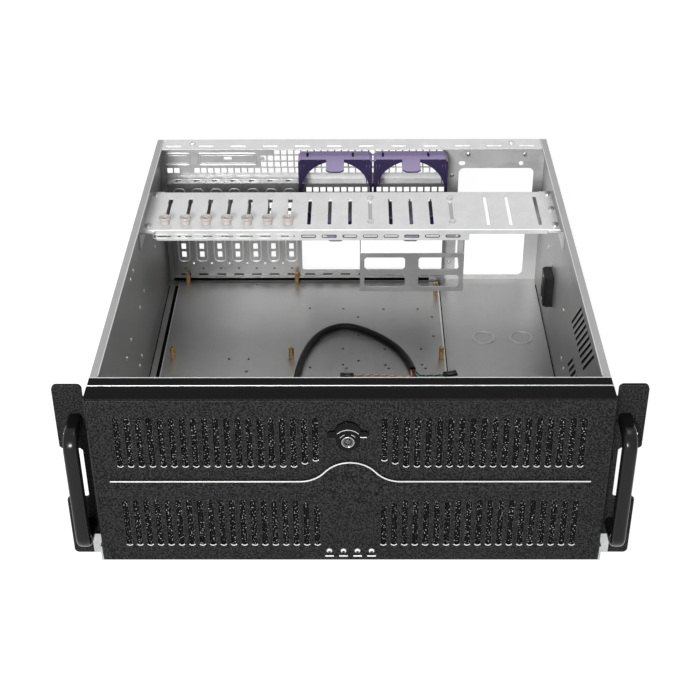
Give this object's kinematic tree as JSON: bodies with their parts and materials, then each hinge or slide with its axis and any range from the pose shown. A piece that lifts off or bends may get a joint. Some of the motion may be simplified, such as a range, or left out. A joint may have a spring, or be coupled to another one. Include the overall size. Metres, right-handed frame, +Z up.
{
  "type": "empty rackmount server case",
  "caption": "Open-topped 4U rack case: folded steel base, stepped rear wall, slotted drop-down front door, rack ears with handles, cross bar, drive cage, fan holders and tray.",
  "frame": {"origin": "middle of the case's underside, in the front plane of the rack ears", "axes": "+X across the case to the right seen from the front, +Y to the rear, +Z up"},
  "size_m": [0.4826, 0.506, 0.1789],
  "materials": {
    "galvanised": "galvanised steel, soft grey",
    "black_coat": "textured black powder coat",
    "black_gloss": "glossy black",
    "screw_steel": "plated steel",
    "zinc": "zinc plated",
    "foam": "open black filter foam",
    "lock_trim": "black trim",
    "lock_metal": "plated key barrel",
    "lens": "dark indicator lenses",
    "brass": "brass",
    "black_plastic": "matt black",
    "board": "green circuit board",
    "sleeve": "black braided sleeve",
    "lead": "coloured wire",
    "purple_plastic": "violet plastic",
    "nylon": "natural nylon"
  },
  "bodies": {
    "case": {"chassis_base": "galvanised", "rear_panel": "galvanised", "rear_plate": "galvanised", "motherboard_tray": "galvanised", "cross_bar": "galvanised", "drive_cage": "galvanised", "bar_bracket_left": "galvanised", "bar_bracket_right": "galvanised", "front_sheet": "galvanised", "front_frame": "black_coat", "rack_ear_left": "black_coat", "rack_ear_right": "black_coat", "handle_left": "black_gloss", "handle_right": "black_gloss", "handle_screws": "screw_steel", "bar_screws": "screw_steel", "cage_screws": "screw_steel", "flange_screws": "screw_steel", "hinge_bracket_left": "zinc", "hinge_bracket_right": "zinc", "hinge_pin_left": "zinc", "hinge_pin_right": "zinc", "standoffs": "brass", "wall_switch": "black_plastic", "led_board": "board", "front_panel_cable": "sleeve", "lead_1": "lead", "lead_2": "lead", "lead_3": "lead", "plug_1": "black_plastic", "plug_2": "black_plastic", "plug_3": "black_plastic", "fan_holder_left": "purple_plastic", "fan_holder_right": "purple_plastic", "slot_cover_1": "galvanised", "slot_cover_2": "galvanised", "slot_cover_3": "galvanised", "slot_cover_4": "galvanised", "slot_cover_5": "galvanised", "slot_cover_6": "galvanised", "slot_cover_7": "galvanised"},
    "door": {"front_door": "black_coat", "air_filter": "foam", "lock_escutcheon": "lock_trim", "led_lenses": "lens"},
    "lock": {"lock_barrel": "lock_metal", "lock_cam": "zinc"},
    "retainer_1": {"card_retainer_1": "nylon"},
    "retainer_2": {"card_retainer_2": "nylon"},
    "retainer_3": {"card_retainer_3": "nylon"},
    "retainer_4": {"card_retainer_4": "nylon"},
    "retainer_5": {"card_retainer_5": "nylon"},
    "retainer_6": {"card_retainer_6": "nylon"},
    "retainer_7": {"card_retainer_7": "nylon"}
  },
  "joints": [
    {"name": "front_door_hinge", "type": "hinge", "parent": "case", "child": "door", "pos_m": [0, -0.01, 0.0125], "axis": [1, 0, 0], "range_deg": [0, 90]},
    {"name": "lock_turn", "type": "hinge", "parent": "door", "child": "lock", "pos_m": [-0.0016, -0.02, 0.1373], "axis": [0, -1, 0], "range_deg": [0, 90]},
    {"name": "card_retainer_1_slide", "type": "slide", "parent": "case", "child": "retainer_1", "axis": [0, 1, 0], "range_m": [0, 0.048]},
    {"name": "card_retainer_2_slide", "type": "slide", "parent": "case", "child": "retainer_2", "axis": [0, 1, 0], "range_m": [0, 0.048]},
    {"name": "card_retainer_3_slide", "type": "slide", "parent": "case", "child": "retainer_3", "axis": [0, 1, 0], "range_m": [0, 0.048]},
    {"name": "card_retainer_4_slide", "type": "slide", "parent": "case", "child": "retainer_4", "axis": [0, 1, 0], "range_m": [0, 0.048]},
    {"name": "card_retainer_5_slide", "type": "slide", "parent": "case", "child": "retainer_5", "axis": [0, 1, 0], "range_m": [0, 0.048]},
    {"name": "card_retainer_6_slide", "type": "slide", "parent": "case", "child": "retainer_6", "axis": [0, 1, 0], "range_m": [0, 0.048]},
    {"name": "card_retainer_7_slide", "type": "slide", "parent": "case", "child": "retainer_7", "axis": [0, 1, 0], "range_m": [0, 0.048]}
  ]
}
